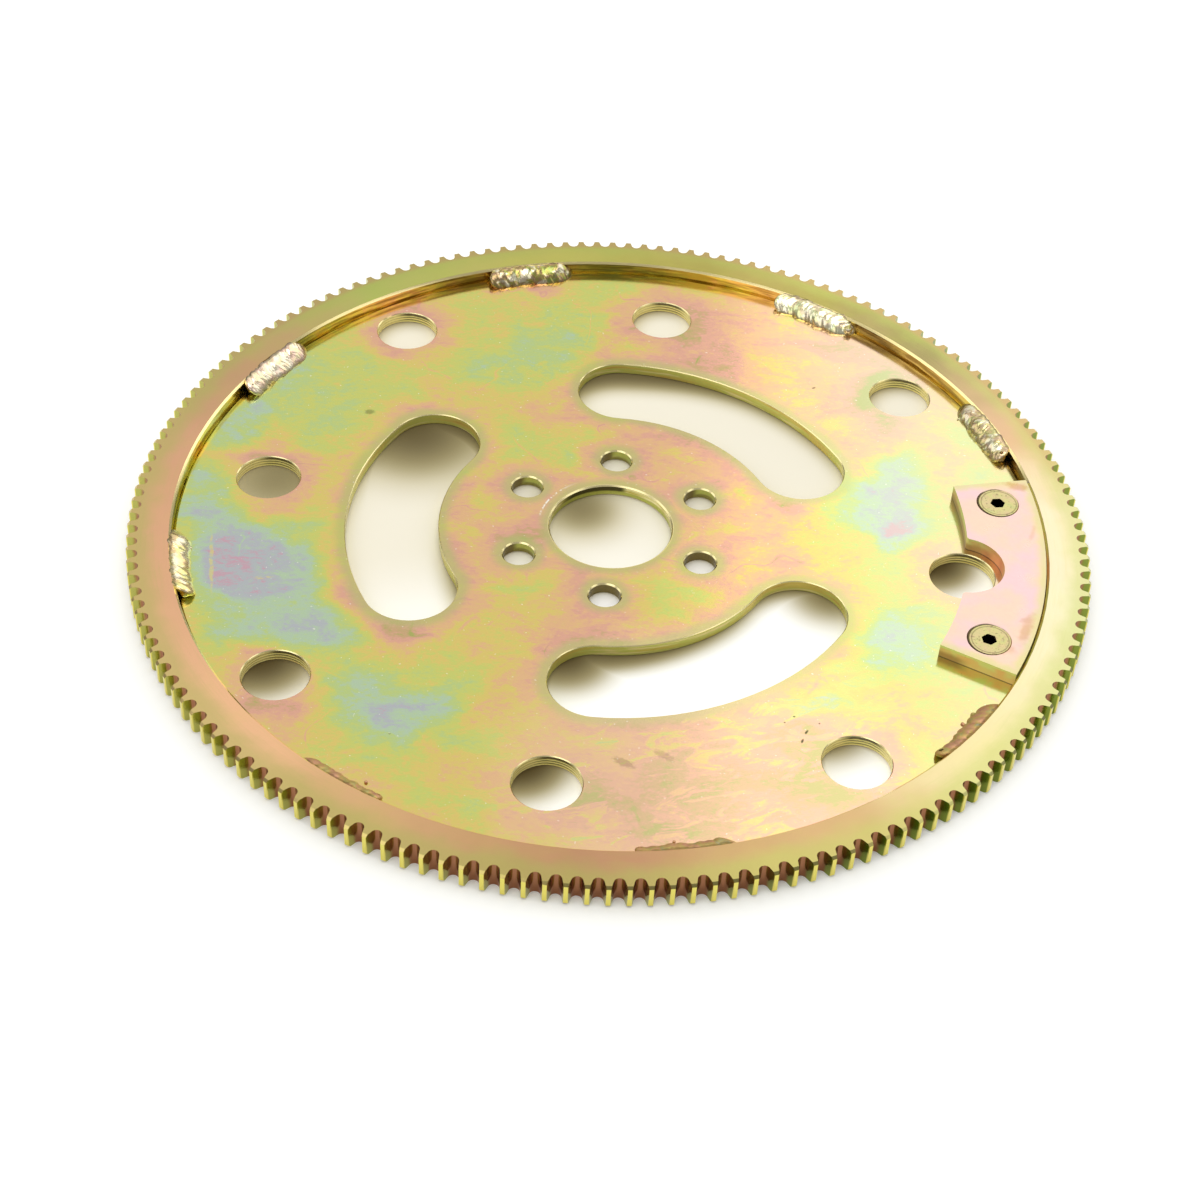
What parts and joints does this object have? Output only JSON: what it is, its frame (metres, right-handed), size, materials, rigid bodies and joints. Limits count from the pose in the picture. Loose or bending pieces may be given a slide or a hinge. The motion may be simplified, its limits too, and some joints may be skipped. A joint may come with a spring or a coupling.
{
  "type": "flexplate",
  "caption": "Flat steel flexplate: a starter ring gear welded round a disc with bolt holes, kidney-shaped windows and a balance weight, joining a crankshaft to a torque converter.",
  "frame": {"origin": "Centre of the centre bore, on the plane of the underside of the disc and the ring gear", "axes": "+Z is the crankshaft axis, from the underside to the side with the welds and the balance weight; +X points to the converter hole that the balance weight is notched round"},
  "size_m": [0.361, 0.361, 0.0103],
  "materials": {
    "disc_plating": "yellow chromated zinc plating on rolled steel, iridescent gold, green, pink and blue",
    "gear_plating": "yellow chromated zinc plating on turned and cut steel, olive gold with pink tooth gaps",
    "weight_plating": "yellow chromated zinc plating on smooth steel, pale pink with green and gold edges",
    "screw_plating": "yellow chromated zinc plating on a turned screw, bright gold",
    "weld_plating": "yellow chromated zinc plating on rippled weld metal, bright pale gold with dark craters"
  },
  "bodies": {
    "root": {"flex_disc": "disc_plating", "ring_gear": "gear_plating", "counterweight": "weight_plating", "counterweight_screw_1": "screw_plating", "counterweight_screw_2": "screw_plating", "weld_bead_1": "weld_plating", "weld_bead_2": "weld_plating", "weld_bead_3": "weld_plating", "weld_bead_4": "weld_plating", "weld_bead_5": "weld_plating", "weld_bead_6": "weld_plating", "weld_bead_7": "weld_plating", "weld_bead_8": "weld_plating"}
  },
  "joints": []
}
